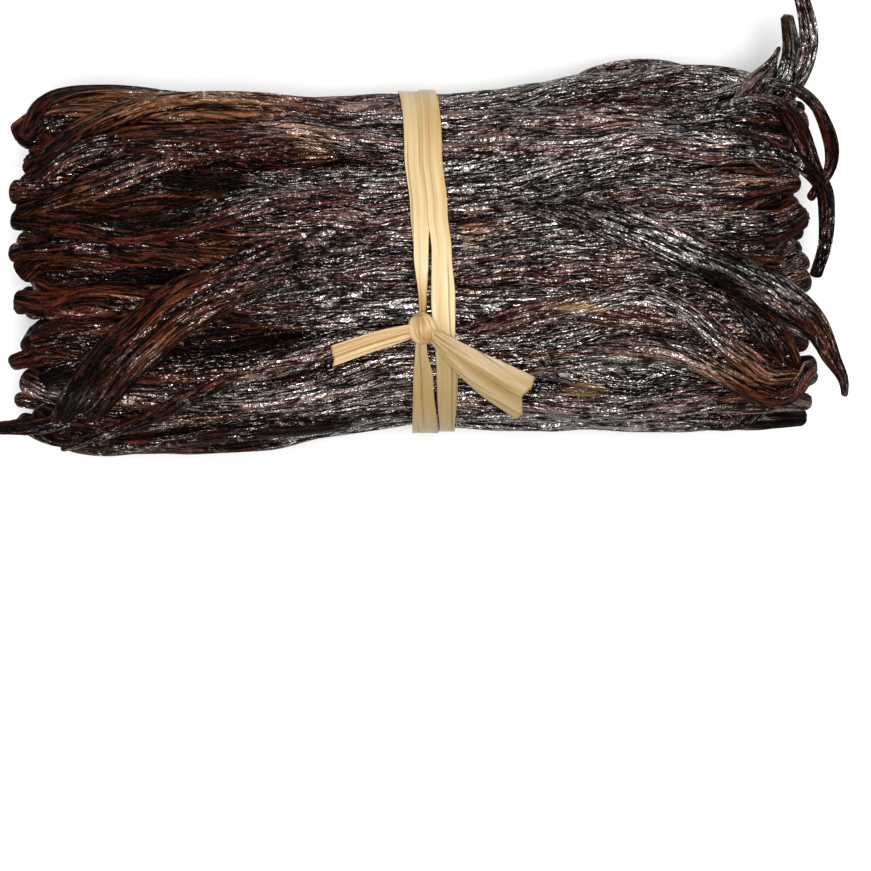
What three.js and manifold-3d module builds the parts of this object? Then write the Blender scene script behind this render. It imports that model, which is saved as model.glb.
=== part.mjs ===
// A bundle of cured vanilla pods: long, flattened, wrinkled pods laid side by side, drawn in at the middle
// by one strip of raffia that goes twice round them and is knotted on top.
// Millimetres. X runs along the pods, +Z is up, and the origin is the middle of the footprint.

import * as THREE from "three";
import { mergeVertices } from "three/addons/utils/BufferGeometryUtils.js";
import Module from "manifold-3d";

const wasm = await Module();
wasm.setup();

const { lerp, degToRad } = THREE.MathUtils;

// The outline that the pods fill: narrow under the raffia, full on both sides of it.
const WAIST = { halfWidth: 33, halfHeight: 20.6 };
const BELLY = { halfWidth: 36.4, halfHeight: 24.6, distance: 44 };
const AXIS_HEIGHT = 23.2; // the belly sags a little below the floor line, and is cut flat there
const SKEW = { left: -2.8, right: 1.2 }; // how far the axis drifts in Y towards each end
const SQUARENESS = 2.35; // exponent of the superellipse: 2 is an ellipse, more is boxier
const DROOP = { from: 50, over: 35, depth: 2.4 }; // the top lies lower towards the ends
const MIDDLE = { x: -0.4, y: 6.8 }; // of the whole footprint, which is moved to the origin

// The pods. The skin pods lie side by side round the outline, and the inner ones show only their ends.
const POD = { width: 7.4, thickness: 5.4, taper: 13, taperShare: 1 / 3, tip: 0.74, cap: 0.8 };
const UNEVEN = { width: [0.9, 1.15], thickness: [0.85, 1.15], roll: 0.5 }; // shares of POD, and radians
const SKIN_PODS = 26;
const INNER_PODS = 18;
const ENDS = { left: -76, right: 71, spread: 4.5 }; // where the pods stop, and how unevenly
const TIP = { length: 8.8, bend: 1.7, inwards: 0.9, steps: 2 }; // the last stretch of a pod, turned aside
const STATIONS = [-60, -38, -18, 0, 18, 38, 57]; // where the skin pods have their rings
const STRAY = { waist: 0.25, belly: 0.63, from: 40 }; // how far a skin pod strays sideways, in spacings
const RISE = { mean: 0.5, range: 1.1 }; // how deep it lies away from the raffia
const WAVE = { length: [150, 240], swings: [0.65, 0.35], quicker: 2.5 }; // of a skin pod along the bundle
const STUB = { width: 6.3, tip: 0.8, bend: 1.1, overlap: 3, area: 0.84 };
const SIDES = { skin: 6, others: 5 };
const CORE = { inset: 2.6, left: -71, right: 66, sides: 18, rows: 6 };
const SEED = 20;

// Pods that lie loose over the others or leave the bundle: [x, y, height over the outline] along each.
const LOOSE_PODS = [
  {
    width: 5.4,
    path: [[-20, 31, -3], [-45, 32.2, -0.6], [-69, 31.8, 0.6], [-76, 28.6, 0], [-77.6, 24.4, -0.5]],
  },
  {
    width: 6.6,
    path: [[-8, 30.6, -3.4], [-28, 31, -0.6], [-50, 29.4, 0.9], [-66, 24.6, 0.8], [-76.8, 17.6, -1]],
  },
  {
    width: 7.4,
    path: [[-24, 25.2, -3], [-40, 22.4, 0.2], [-58, 22, 0.6], [-69, 19.6, 0.4], [-77, 14.4, -1.4]],
  },
  { width: 6.4, path: [[-38, 21.5, -3], [-50, 19.2, -0.2], [-64, 14, 0.6], [-78, 9.2, -0.8]] },
  {
    width: 6.8,
    path: [[-14, 13.4, -3], [-30, 10.8, 0], [-47, 6, 0.8], [-62, 5.2, 0.4], [-79, 7.6, -1.2]],
  },
  { width: 6.2, path: [[-22, -0.4, -3], [-40, -0.6, 0.2], [-58, 1.2, 0.6], [-79.5, 1, -1.6]] },
  {
    width: 7,
    path: [[-7, 4, -3], [-26, 1, 0.2], [-45, -6.2, 1.2], [-58, -15, 1.1], [-66, -24, 0.6], [-71, -31, -0.6]],
  },
  {
    width: 6.6,
    path: [[-9, -4.4, -3.2], [-28, -5.4, -0.4], [-43, -10.2, 0.8], [-55, -19.4, 1], [-65, -30.4, -0.4]],
  },
  {
    width: 3.6,
    path: [[-21, -21, -3], [-33, -23, 0], [-48, -27.8, 0.5], [-61, -33.6, 0.6], [-71, -37, 0]],
  },
  { width: 4.4, path: [[-66, -31.5, -2.4], [-74, -33, -0.6], [-83, -33.4, -0.6]] },
  {
    width: 7.8,
    tip: 0.36,
    path: [
      [9, 10.3, -3.2], [27, 9, 0.2], [45, 3.4, 1.5], [61, -3.8, 1.7], [74, -12, 1.8], [81, -21, 0.6],
      [81.8, -27, -2],
    ],
  },
  { width: 3.2, path: [[46, -4.6, -3], [57, -8, 0.1], [65, -15, 0.4], [69, -20.4, -1]] },
  {
    width: 5.6,
    path: [[8, -15, -3.2], [22, -11.4, 0.1], [39, -7.8, 0.3], [50, -10, 0.2], [61, -18, 1], [74.5, -19, -1]],
  },
  {
    width: 5.8,
    path: [[32, -17.6, -3], [48, -18.6, 0.3], [60, -23.2, 0.8], [68.4, -27.4, 0.4], [74.6, -21.6, -1]],
  },
  {
    width: 3.4,
    path: [[52, 34, -3], [66, 34.6, 0], [75, 31.6, 0.2], [79.2, 25, -0.4], [78.4, 17.8, -1.6], [74, 17, -3]],
  },
  { width: 2.8, path: [[72, 19.5, -5], [77.6, 14, -6], [78.6, 6, -7], [76.2, -3.2, -8]] },
  {
    width: 2.9, tip: 0.8,
    path: [[64, 32.6, -3], [72, 38, 2], [75, 42, 5], [75.2, 47, 9], [73.6, 52, 12]],
  },
  { width: 3.8, path: [[62, 34.6, -2], [67, 39, 4], [71.6, 42.4, 6]] },
  { width: 2.7, tip: 0.8, path: [[66, 31, -2], [72.4, 38, 9], [71, 45.6, 21]] },
];
const LOOSE = { thickness: 0.74, rings: 6 }; // the thickness is a share of a loose pod's width
const UNDER_FLOOR = { side: 400, depth: 20 }; // the block that cuts the bundle flat where it lies

// The raffia strip, by the angle that it has gone round from the knot: [degrees, x, width].
const STRIP_RUN = [
  [0, -0.6, 1.1], [10, -0.4, 1.7], [26, -0.7, 2.9], [39, -0.9, 3.7], [59, -1.9, 4.1], [114, -3.1, 4.5],
  [160, -2, 4.2], [204, 1.2, 4.2], [250, 3.8, 4], [312, 4.4, 3.1], [343, 4.4, 4.1], [354, 4, 3.8],
  [370, 3.6, 4.7], [386, 3.3, 3.9], [399, 2.5, 3.9], [419, 1.5, 3.7], [474, 0.3, 3.1], [520, 0.8, 3.6],
  [564, 0.3, 4], [610, 0.2, 4.4], [672, 0.1, 5.2], [703, -0.3, 3.9], [714, -0.7, 2.3], [720, -0.6, 1.1],
];
const STRIP = { gap: 0.45, thickness: 0.5, step: 12, cutShare: 0.8 };
const TURNS = [{ from: 0, to: 372, lift: 0 }, { from: 360, to: 720, lift: 0.3 }]; // the second lies on top
const KNOT = { x: -0.3, y: -13.5, lift: 1.5, halfSizes: [2.2, 2.4, 1.5], sides: 9, rows: 6 };
const KNOT_WRAP = { radius: 1.4, thickness: 0.75, slant: 0.5, sides: 6, steps: 10 };
const TAILS = [
  { path: [[-1.2, -13.2, 1.9], [-8, -15.2, 2.1], [-18, -18.8, 2.2]], widths: [2, 3.2, 3.6], fold: 0.5 },
  { path: [[1, -14.4, 1.9], [9, -19.4, 2.2], [19.8, -27.2, 2.6]], widths: [2, 6, 9.7], fold: 0.16 },
];
const TAIL_STEPS = 5;

const ANGLE_STEPS = 720; // steps round the waist by which its length is measured
const SLIGHT = 1e-6; // keeps a direction from having no length
const SAME_PLACE = 1e-4; // points nearer than this are one point
const GOLDEN_ANGLE = Math.PI * (3 - Math.sqrt(5));
const smooth = (t) => THREE.MathUtils.smoothstep(t, 0, 1);

// Numbers from 0 to 1, the same ones each time.
function randomNumbers(seed) {
  let state = seed;
  return () => {
    state = (Math.imul(state, 1664525) + 1013904223) >>> 0;
    return state / 2 ** 32;
  };
}

// The outline at one place along the bundle: half its width and height, and its middle.
function outline(x) {
  const fullness = smooth(Math.abs(x) / BELLY.distance);
  const droop = (DROOP.depth / 2) * smooth((Math.abs(x) - DROOP.from) / DROOP.over);
  return {
    halfWidth: lerp(WAIST.halfWidth, BELLY.halfWidth, fullness),
    halfHeight: lerp(WAIST.halfHeight, BELLY.halfHeight, fullness) - droop,
    y: (x < 0 ? SKEW.left : SKEW.right) * fullness,
    z: AXIS_HEIGHT - droop,
  };
}

// The point of the outline in the direction of an angle, from +Y over the top, moved in by inset.
function onOutline(x, angle, inset) {
  const o = outline(x);
  const [u, v] = [Math.cos(angle), Math.sin(angle)];
  const size = (Math.abs(u) ** SQUARENESS + Math.abs(v) ** SQUARENESS) ** (1 / SQUARENESS);
  const [y, z] = [o.y + ((o.halfWidth - inset) * u) / size, o.z + ((o.halfHeight - inset) * v) / size];
  return new THREE.Vector3(x, y, z);
}

// The way out of the bundle at a point on or near the outline.
function outward(p) {
  const o = outline(p.x);
  const slope = (w) => Math.sign(w) * Math.abs(w) ** (SQUARENESS - 1);
  const [u, v] = [(p.y - o.y) / o.halfWidth, (p.z - o.z) / o.halfHeight];
  return new THREE.Vector3(0, slope(u) / o.halfWidth, slope(v) / o.halfHeight + SLIGHT).normalize();
}

// The point over the top of the bundle at x and y, a height above the outline. Beside the bundle the
// height is above its axis.
function onTop([x, y, height]) {
  const o = outline(x);
  const u = Math.abs(y - o.y) / o.halfWidth;
  if (u >= 1) return new THREE.Vector3(x, y, o.z + height);
  const p = new THREE.Vector3(x, y, o.z + o.halfHeight * (1 - u ** SQUARENESS) ** (1 / SQUARENESS));
  return p.addScaledVector(outward(p), height);
}

// Turns a place in the row of skin pods into an angle round the waist, so that the places are the same
// distance apart along the outline.
function evenAngles(count) {
  const turn = (k) => (2 * Math.PI * k) / ANGLE_STEPS;
  const lengths = [0];
  for (let k = 1; k <= ANGLE_STEPS; k++) {
    lengths.push(lengths[k - 1] + onOutline(0, turn(k), 0).distanceTo(onOutline(0, turn(k - 1), 0)));
  }
  return (place) => {
    const wanted = (((place % count) + count) % count) * (lengths.at(-1) / count);
    const k = lengths.findIndex((length) => length > wanted);
    return turn(k - 1 + (wanted - lengths[k - 1]) / (lengths[k] - lengths[k - 1]));
  };
}

// A slow wave along the bundle, between -1 and 1: one swing and a smaller, quicker one.
function wave(random) {
  const length = lerp(...WAVE.length, random());
  const [first, second] = [2 * Math.PI * random(), 2 * Math.PI * random()];
  const swing = (x, times, phase) => Math.sin((2 * Math.PI * times * x) / length + phase);
  return (x) => WAVE.swings[0] * swing(x, 1, first) + WAVE.swings[1] * swing(x, WAVE.quicker, second);
}

// Carries a line of points on from its last one, turning it towards a side.
function curl(points, side, length, bend) {
  const { steps } = TIP;
  const p = points.at(-1).clone();
  const along = p.clone().sub(points.at(-2)).normalize();
  const across = side.clone().addScaledVector(along, -side.dot(along)).normalize();
  for (let k = 0; k < steps; k++) {
    const angle = (bend * (k + 0.5)) / steps;
    p.addScaledVector(along, (Math.cos(angle) * length) / steps);
    p.addScaledVector(across, (Math.sin(angle) * length) / steps);
    points.push(p.clone());
  }
}

// Adds the curled tips to both ends of a skin pod's line, so that it reaches its own two places.
function addTips(points, random) {
  for (const limit of [ENDS.right, ENDS.left]) {
    const end = limit + ENDS.spread * (2 * random() - 1);
    const last = points.at(-1);
    const side = outward(last).cross(new THREE.Vector3(1, 0, 0)).multiplyScalar(random() < 0.5 ? -1 : 1);
    side.addScaledVector(outward(last), -TIP.inwards * random());
    points.push(last.clone().setX(end - Math.sign(end) * TIP.length));
    curl(points, side, TIP.length, TIP.bend * random());
    points.reverse();
  }
}

// The way that a line of points runs at one of them.
function direction(points, k) {
  return points[Math.min(k + 1, points.length - 1)].clone().sub(points[Math.max(k - 1, 0)]).normalize();
}

// Rings along a line of points. Each has its centre, its way across and its way out, with its half sizes.
function podRings(points, { width, thickness, tip, roll }) {
  const lengths = [0];
  for (let k = 1; k < points.length; k++) lengths.push(lengths[k - 1] + points[k].distanceTo(points[k - 1]));
  const taper = Math.min(POD.taper, lengths.at(-1) * POD.taperShare);
  const rings = points.map((centre, k) => {
    const along = direction(points, k);
    const out = outward(centre);
    out.addScaledVector(along, -out.dot(along)).normalize().applyAxisAngle(along, roll);
    const nearest = Math.min(lengths[k], lengths.at(-1) - lengths[k]);
    const full = lerp(tip, 1, smooth(nearest / taper));
    const across = along.clone().cross(out);
    return { centre, across, out, halfWidth: (width / 2) * full, halfThickness: (thickness / 2) * full };
  });
  const point = (ring, inner) => {
    const step = ring.centre.clone().sub(inner.centre).setLength(ring.halfThickness * POD.cap);
    return { ...ring, centre: ring.centre.clone().add(step), halfWidth: 0, halfThickness: 0 };
  };
  return [point(rings[0], rings[1]), ...rings, point(rings.at(-1), rings.at(-2))];
}

// A sphere's rows of points drawn out along the rings, so that its poles become the pod's two tips.
function podSolid(rings, sides) {
  const geometry = new THREE.SphereGeometry(1, sides, rings.length - 1);
  const position = geometry.getAttribute("position");
  for (let n = 0; n < position.count; n++) {
    const ring = rings[Math.floor(n / (sides + 1))];
    const turn = (2 * Math.PI * (n % (sides + 1))) / sides;
    const p = ring.centre.clone();
    p.addScaledVector(ring.across, ring.halfWidth * Math.cos(turn));
    p.addScaledVector(ring.out, ring.halfThickness * Math.sin(turn));
    position.setXYZ(n, p.x, p.y, p.z);
  }
  return solidOf(geometry);
}

// The packed middle of the bundle, which the pods stand out of: a cylinder stretched to the outline.
function coreSolid() {
  const geometry = new THREE.CylinderGeometry(1, 1, 1, CORE.sides, CORE.rows);
  const position = geometry.getAttribute("position");
  for (let n = 0; n < position.count; n++) {
    const [u, along, v] = [position.getZ(n), position.getY(n), position.getX(n)];
    const x = lerp(CORE.left, CORE.right, along + 0.5);
    const rim = onOutline(x, Math.atan2(v, u), CORE.inset);
    const middle = outline(x);
    const size = Math.hypot(u, v);
    position.setXYZ(n, x, lerp(middle.y, rim.y, size), lerp(middle.z, rim.z, size));
  }
  return solidOf(geometry);
}

// A pod that lies in the skin of the bundle, from one end to the other.
function skinPod(place, angleOf, random) {
  const [sideways, inwards] = [wave(random), wave(random)];
  const width = POD.width * lerp(...UNEVEN.width, random());
  const thickness = POD.thickness * lerp(...UNEVEN.thickness, random());
  const points = STATIONS.map((x) => {
    const looseness = smooth(Math.abs(x) / STRAY.from);
    const aside = lerp(STRAY.waist, STRAY.belly, looseness) * sideways(x);
    const inset = thickness / 2 + looseness * (RISE.mean + RISE.range * inwards(x));
    return onOutline(x, angleOf(place + aside), inset);
  });
  addTips(points, random);
  const roll = UNEVEN.roll * (random() - 0.5);
  return podSolid(podRings(points, { width, thickness, tip: POD.tip, roll }), SIDES.skin);
}

// The end of a pod that lies inside the bundle, standing out of the core at one end.
function stub(place, limit, coreEnd, random) {
  const radius = STUB.area * Math.sqrt((place + 0.5) / INNER_PODS);
  const angle = place * GOLDEN_ANGLE;
  const o = outline(limit);
  const y = o.y + o.halfWidth * radius * Math.cos(angle);
  const z = o.z + o.halfHeight * radius * Math.sin(angle);
  const inside = coreEnd - Math.sign(coreEnd) * STUB.overlap;
  const points = [inside, coreEnd].map((x) => new THREE.Vector3(x, y, z));
  const turn = 2 * Math.PI * random();
  const reach = Math.abs(limit - coreEnd) + ENDS.spread * (2 * random() - 1);
  curl(points, new THREE.Vector3(0, Math.cos(turn), Math.sin(turn)), reach, STUB.bend * random());
  const size = { width: STUB.width, thickness: POD.thickness, tip: STUB.tip, roll: Math.PI * random() };
  return podSolid(podRings(points, size), SIDES.others);
}

function loosePod({ path, width, tip = POD.tip }) {
  const points = new THREE.CatmullRomCurve3(path.map(onTop)).getPoints(LOOSE.rings);
  const thickness = width * LOOSE.thickness;
  return podSolid(podRings(points, { width, thickness, tip, roll: 0 }), SIDES.others);
}

// A long box bent along stations, each with its middle, its way across and its way out. A fold lifts the
// middle of the strip over its edges.
function stripSolid(stations, fold) {
  const last = stations.length - 1;
  const geometry = new THREE.BoxGeometry(1, 1, 1, fold > 0 ? 2 : 1, 1, last);
  const position = geometry.getAttribute("position");
  for (let n = 0; n < position.count; n++) {
    const { centre, across, out, width } = stations[Math.round((position.getZ(n) + 0.5) * last)];
    const side = position.getX(n);
    const height = position.getY(n) * STRIP.thickness + fold * width * (0.5 - Math.abs(side));
    const p = centre.clone().addScaledVector(across, side * width).addScaledVector(out, height);
    position.setXYZ(n, p.x, p.y, p.z);
  }
  return solidOf(geometry);
}

// A column of STRIP_RUN at an angle, by smooth steps between its entries.
function stripAt(degrees, column) {
  const k = Math.max(1, STRIP_RUN.findIndex(([angle]) => angle >= degrees));
  const [before, after] = [STRIP_RUN[k - 1], STRIP_RUN[k]];
  return lerp(before[column], after[column], smooth((degrees - before[0]) / (after[0] - before[0])));
}

// One turn of the strip round the pods. Its cut ends are narrower where the other turn meets them.
function stripTurn({ from, to, lift }) {
  const u = KNOT.y / WAIST.halfWidth;
  const start = Math.atan2(Math.sqrt(1 - u * u), u);
  const count = Math.round((to - from) / STRIP.step);
  const stations = Array.from({ length: count + 1 }, (_, k) => {
    const degrees = lerp(from, to, k / count);
    const rim = onOutline(0, start - degToRad(degrees), -STRIP.gap - STRIP.thickness / 2 - lift);
    const width = stripAt(degrees, 2) * (k === 0 || k === count ? STRIP.cutShare : 1);
    const centre = rim.clone().setX(stripAt(degrees, 1));
    return { centre, across: new THREE.Vector3(-1, 0, 0), out: outward(rim), width };
  });
  return stripSolid(stations, 0);
}

// A loose end of the strip, from the knot out over the pods.
function tail({ path, widths, fold }) {
  const points = new THREE.CatmullRomCurve3(path.map(onTop)).getPoints(TAIL_STEPS);
  const stations = points.map((centre, k) => {
    const along = direction(points, k);
    const out = outward(centre);
    out.addScaledVector(along, -out.dot(along)).normalize();
    const share = (k / TAIL_STEPS) * (widths.length - 1);
    const before = Math.min(Math.floor(share), widths.length - 2);
    const width = lerp(widths[before], widths[before + 1], share - before);
    return { centre, across: out.clone().cross(along), out, width };
  });
  return stripSolid(stations, fold);
}

// The knot: a rounded lump with one turn of the strip drawn slantwise over it.
function knotParts() {
  const place = onTop([KNOT.x, KNOT.y, KNOT.lift]);
  const lump = new THREE.SphereGeometry(1, KNOT.sides, KNOT.rows).scale(...KNOT.halfSizes);
  const { radius, thickness, slant, sides, steps } = KNOT_WRAP;
  const wrap = new THREE.TorusGeometry(radius, thickness, sides, steps).rotateX(Math.PI / 2).rotateZ(slant);
  return [lump, wrap].map((part) => solidOf(part.translate(place.x, place.y, place.z)));
}

function solidOf(geometry) {
  const bare = geometry.clone();
  bare.deleteAttribute("normal");
  bare.deleteAttribute("uv");
  const merged = mergeVertices(bare, SAME_PLACE);
  const vertProperties = merged.attributes.position.array;
  const triVerts = new Uint32Array(merged.index.array);
  return new wasm.Manifold(new wasm.Mesh({ numProp: 3, vertProperties, triVerts }));
}

// Joins solids into one, and drops any scrap that the joining leaves loose.
function fused(solids) {
  const whole = solids.reduce((sum, solid) => sum.add(solid));
  return whole.decompose().sort((a, b) => b.volume() - a.volume())[0];
}

function meshOf(name, solid, material) {
  const made = solid.getMesh();
  const geometry = new THREE.BufferGeometry();
  geometry.setAttribute("position", new THREE.BufferAttribute(made.vertProperties, 3));
  geometry.setIndex(new THREE.BufferAttribute(made.triVerts, 1));
  geometry.computeVertexNormals();
  const mesh = new THREE.Mesh(geometry, material);
  mesh.name = name;
  mesh.position.set(-MIDDLE.x, -MIDDLE.y, 0);
  return mesh;
}

function bundledPods() {
  const random = randomNumbers(SEED);
  const angleOf = evenAngles(SKIN_PODS);
  const solids = [coreSolid()];
  for (let place = 0; place < SKIN_PODS; place++) solids.push(skinPod(place, angleOf, random));
  for (let place = 0; place < INNER_PODS; place++) {
    solids.push(stub(place, ENDS.left, CORE.left, random), stub(place, ENDS.right, CORE.right, random));
  }
  const { side, depth } = UNDER_FLOOR;
  const underFloor = new THREE.BoxGeometry(side, side, depth).translate(0, 0, -depth / 2);
  return fused([...solids, ...LOOSE_PODS.map(loosePod)]).subtract(solidOf(underFloor));
}

const leather = new THREE.MeshStandardMaterial({ color: 0x24120c, roughness: 0.35, metalness: 0 });
const straw = new THREE.MeshStandardMaterial({ color: 0xd9b26f, roughness: 0.6, metalness: 0 });

const bundle = new THREE.Group();
bundle.add(meshOf("pods", bundledPods(), leather));
bundle.add(meshOf("raffia_tie", fused([...TURNS.map(stripTurn), ...TAILS.map(tail), ...knotParts()]), straw));

export default bundle;
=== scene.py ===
# A bundle of cured vanilla pods, tied at the middle with a strip of raffia and lying on a pale table.

import math

import bpy
import numpy as np
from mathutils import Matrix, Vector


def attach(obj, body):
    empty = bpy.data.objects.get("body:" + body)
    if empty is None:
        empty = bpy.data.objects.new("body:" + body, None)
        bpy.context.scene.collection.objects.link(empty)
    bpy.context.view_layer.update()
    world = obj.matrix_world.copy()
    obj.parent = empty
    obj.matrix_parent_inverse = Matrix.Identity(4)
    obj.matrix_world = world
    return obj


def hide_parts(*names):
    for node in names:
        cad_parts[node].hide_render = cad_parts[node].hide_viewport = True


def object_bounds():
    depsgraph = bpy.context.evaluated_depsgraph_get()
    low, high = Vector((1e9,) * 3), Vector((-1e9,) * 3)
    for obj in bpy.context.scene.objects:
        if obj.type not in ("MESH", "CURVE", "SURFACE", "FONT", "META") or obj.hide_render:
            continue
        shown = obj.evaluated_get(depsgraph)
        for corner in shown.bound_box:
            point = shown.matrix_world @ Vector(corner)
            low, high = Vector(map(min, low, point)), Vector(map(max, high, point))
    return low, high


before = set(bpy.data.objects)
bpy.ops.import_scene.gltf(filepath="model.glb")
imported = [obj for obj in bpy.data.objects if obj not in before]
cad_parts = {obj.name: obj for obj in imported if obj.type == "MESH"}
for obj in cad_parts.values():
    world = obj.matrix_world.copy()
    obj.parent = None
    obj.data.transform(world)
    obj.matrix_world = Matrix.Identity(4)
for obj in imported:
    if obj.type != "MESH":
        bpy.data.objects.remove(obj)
cad_bounds = [list(corner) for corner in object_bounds()]
bpy.ops.object.select_all(action="DESELECT")


# The skin pods are whole cured pods, flat, oily and leathery. They lie side by side round the bundle from
# one end to the other, and the raffia draws them in at the middle. Lengths are in millimetres until the
# mesh is made, and places are counted from the axis of the bundle at the raffia.
MM = 0.001
MIDDLE = np.array([-0.4, 6.8, 0.0])
WAIST_HALF_WIDTH, WAIST_HALF_HEIGHT = 33.0, 20.6
BELLY_HALF_WIDTH, BELLY_HALF_HEIGHT, BELLY_DISTANCE = 36.4, 24.6, 44.0
AXIS_HEIGHT = 23.2
SKEW_LEFT, SKEW_RIGHT = -2.8, 1.2
SQUARENESS = 2.35
DROOP_FROM, DROOP_OVER, DROOP_DEPTH = 50.0, 35.0, 2.4
POD_WIDTH, POD_THICKNESS, POD_TAPER, POD_TIP = 7.4, 5.4, 13.0, 0.74
SKIN_PODS = 26
END_LEFT, END_RIGHT, END_SPREAD = -76.0, 71.0, 4.5
TIP_LENGTH, TIP_BEND, TIP_INWARDS = 8.8, 1.7, 0.9
SKIN_LEFT, SKIN_RIGHT, SKIN_STATIONS = -60.0, 57.0, 27
STRAY_WAIST, STRAY_BELLY, STRAY_OVER = 0.25, 0.63, 40.0
RISE_MEAN, RISE_RANGE = 0.5, 1.1
WAVE_SHORTEST, WAVE_RANGE, RIPPLE, RIPPLE_SHARE = 150, 90, 2.5, 0.35
WIDTH_LEAST, WIDTH_RANGE, THICKNESS_LEAST, THICKNESS_RANGE, ROLL_RANGE = 0.9, 0.25, 0.85, 0.3, 0.5
OUTLINE_POINTS, LEAST_POINTS, CURL_STEPS, TINY, SKIN_SEED = 721, 8, 2, 1e-6, 20


def smooth(t):
    t = np.clip(t, 0.0, 1.0)
    return t * t * (3.0 - 2.0 * t)


def lerp(a, b, t):
    return a + (b - a) * t


def random_numbers(seed):
    """Numbers from 0 to 1, the same ones each time."""
    state = seed
    while True:
        state = (state * 1664525 + 1013904223) % 2**32
        yield state / 2**32


def outline(x):
    """Half the width, half the height, and the y and z of the axis of the bundle at x."""
    fullness = smooth(np.abs(x) / BELLY_DISTANCE)
    droop = DROOP_DEPTH / 2 * smooth((np.abs(x) - DROOP_FROM) / DROOP_OVER)
    half_width = lerp(WAIST_HALF_WIDTH, BELLY_HALF_WIDTH, fullness)
    half_height = lerp(WAIST_HALF_HEIGHT, BELLY_HALF_HEIGHT, fullness) - droop
    middle = np.where(x < 0, SKEW_LEFT, SKEW_RIGHT) * fullness
    return half_width, half_height, middle, AXIS_HEIGHT - droop


def on_outline(x, angle, inset):
    """Points of the outline in the direction of an angle, from +Y over the top, moved in by inset."""
    half_width, half_height, y, z = outline(x)
    u, v = np.cos(angle), np.sin(angle)
    size = (np.abs(u) ** SQUARENESS + np.abs(v) ** SQUARENESS) ** (1 / SQUARENESS)
    y = y + (half_width - inset) * u / size
    z = z + (half_height - inset) * v / size
    return np.stack([x + 0 * u, y, z], -1)


def unit(vectors):
    return vectors / np.linalg.norm(vectors, axis=-1, keepdims=True)


def outward(points):
    """The way out of the bundle at points on or near the outline."""
    half_width, half_height, y, z = outline(points[..., 0])
    u, v = (points[..., 1] - y) / half_width, (points[..., 2] - z) / half_height
    slopes = [np.sign(w) * np.abs(w) ** (SQUARENESS - 1) for w in (u, v)]
    return unit(np.stack([0 * u, slopes[0] / half_width, slopes[1] / half_height + TINY], -1))


def square_to(along, out):
    """The way out, turned square to a way along."""
    return unit(out - np.sum(out * along, -1, keepdims=True) * along)


def rolled(first, second, angle):
    """Two ways that are square to each other, both turned by an angle from the first towards the second."""
    cosine, sine = np.cos(angle), np.sin(angle)
    return cosine * first + sine * second, cosine * second - sine * first


def lengths_along(line):
    """How far along a line each of its points is."""
    return np.concatenate([[0], np.cumsum(np.linalg.norm(np.diff(line, axis=0), axis=1))])


def even_angle(place):
    """The angle of a place in the row of skin pods, evenly spaced along the outline at the raffia."""
    turns = np.linspace(0, 2 * np.pi, OUTLINE_POINTS)
    rim = on_outline(np.zeros(turns.size), turns, 0.0)
    lengths = lengths_along(rim)
    return np.interp(np.mod(place, SKIN_PODS) * lengths[-1] / SKIN_PODS, lengths, turns)


def wave(random):
    """A slow wave along the bundle, between -1 and 1."""
    length = WAVE_SHORTEST + WAVE_RANGE * next(random)
    first, second = 2 * np.pi * next(random), 2 * np.pi * next(random)
    turn = 2 * np.pi / length
    return lambda x: (
        (1 - RIPPLE_SHARE) * np.sin(turn * x + first) + RIPPLE_SHARE * np.sin(RIPPLE * turn * x + second)
    )


def curled(points, side, length, bend):
    """A line of points carried on from its last one, turning towards a side."""
    along = unit(points[-1] - points[-2])
    across = unit(side - side @ along * along)
    for k in range(CURL_STEPS):
        angle = bend * (k + 0.5) / CURL_STEPS
        step = (np.cos(angle) * along + np.sin(angle) * across) * length / CURL_STEPS
        points = np.vstack([points, points[-1] + step])
    return points


def skin_pod(place, random, offset=0.0, deeper=0.0):
    """The line of a pod that lies in the skin of the bundle, and its sizes."""
    sideways, inwards = wave(random), wave(random)
    width = POD_WIDTH * (WIDTH_LEAST + WIDTH_RANGE * next(random))
    thickness = POD_THICKNESS * (THICKNESS_LEAST + THICKNESS_RANGE * next(random))
    x = np.linspace(SKIN_LEFT, SKIN_RIGHT, SKIN_STATIONS)
    looseness = smooth(np.abs(x) / STRAY_OVER)
    aside = lerp(STRAY_WAIST, STRAY_BELLY, looseness) * sideways(x)
    inset = thickness / 2 + looseness * (RISE_MEAN + RISE_RANGE * inwards(x)) + deeper
    points = on_outline(x, even_angle(place + offset + aside), inset)
    for limit in (END_RIGHT, END_LEFT):
        end = limit + END_SPREAD * (2 * next(random) - 1)
        out = outward(points[-1])
        side = np.cross(out, [1.0, 0.0, 0.0]) * (-1 if next(random) < 0.5 else 1)
        side = side - TIP_INWARDS * next(random) * out
        last = points[-1].copy()
        last[0] = end - math.copysign(TIP_LENGTH, end)
        points = curled(np.vstack([points, last]), side, TIP_LENGTH, TIP_BEND * next(random))[::-1]
    roll = ROLL_RANGE * (next(random) - 0.5)
    return points, dict(width=width, thickness=thickness, tip=POD_TIP, taper=POD_TAPER, roll=roll)


def fine_line(points, step):
    """A smooth line through points, with a point about every step of its length."""
    gaps = np.linalg.norm(np.diff(points, axis=0), axis=1)
    places = lengths_along(points)
    slopes = np.diff(points, axis=0) / gaps[:, None]
    tangents = np.vstack([slopes[:1], slopes[:-1] + (slopes[1:] - slopes[:-1]) * 0.5, slopes[-1:]])
    at = np.linspace(0, places[-1], max(LEAST_POINTS, int(places[-1] / step)))
    k = np.clip(np.searchsorted(places, at, side="right") - 1, 0, gaps.size - 1)
    t = ((at - places[k]) / gaps[k])[:, None]
    a, b = points[k], points[k + 1]
    ta, tb = tangents[k] * gaps[k][:, None], tangents[k + 1] * gaps[k][:, None]
    first_half = (2 * t**3 - 3 * t**2 + 1) * a + (t**3 - 2 * t**2 + t) * ta
    return first_half + (3 * t**2 - 2 * t**3) * b + (t**3 - t**2) * tb


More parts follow.
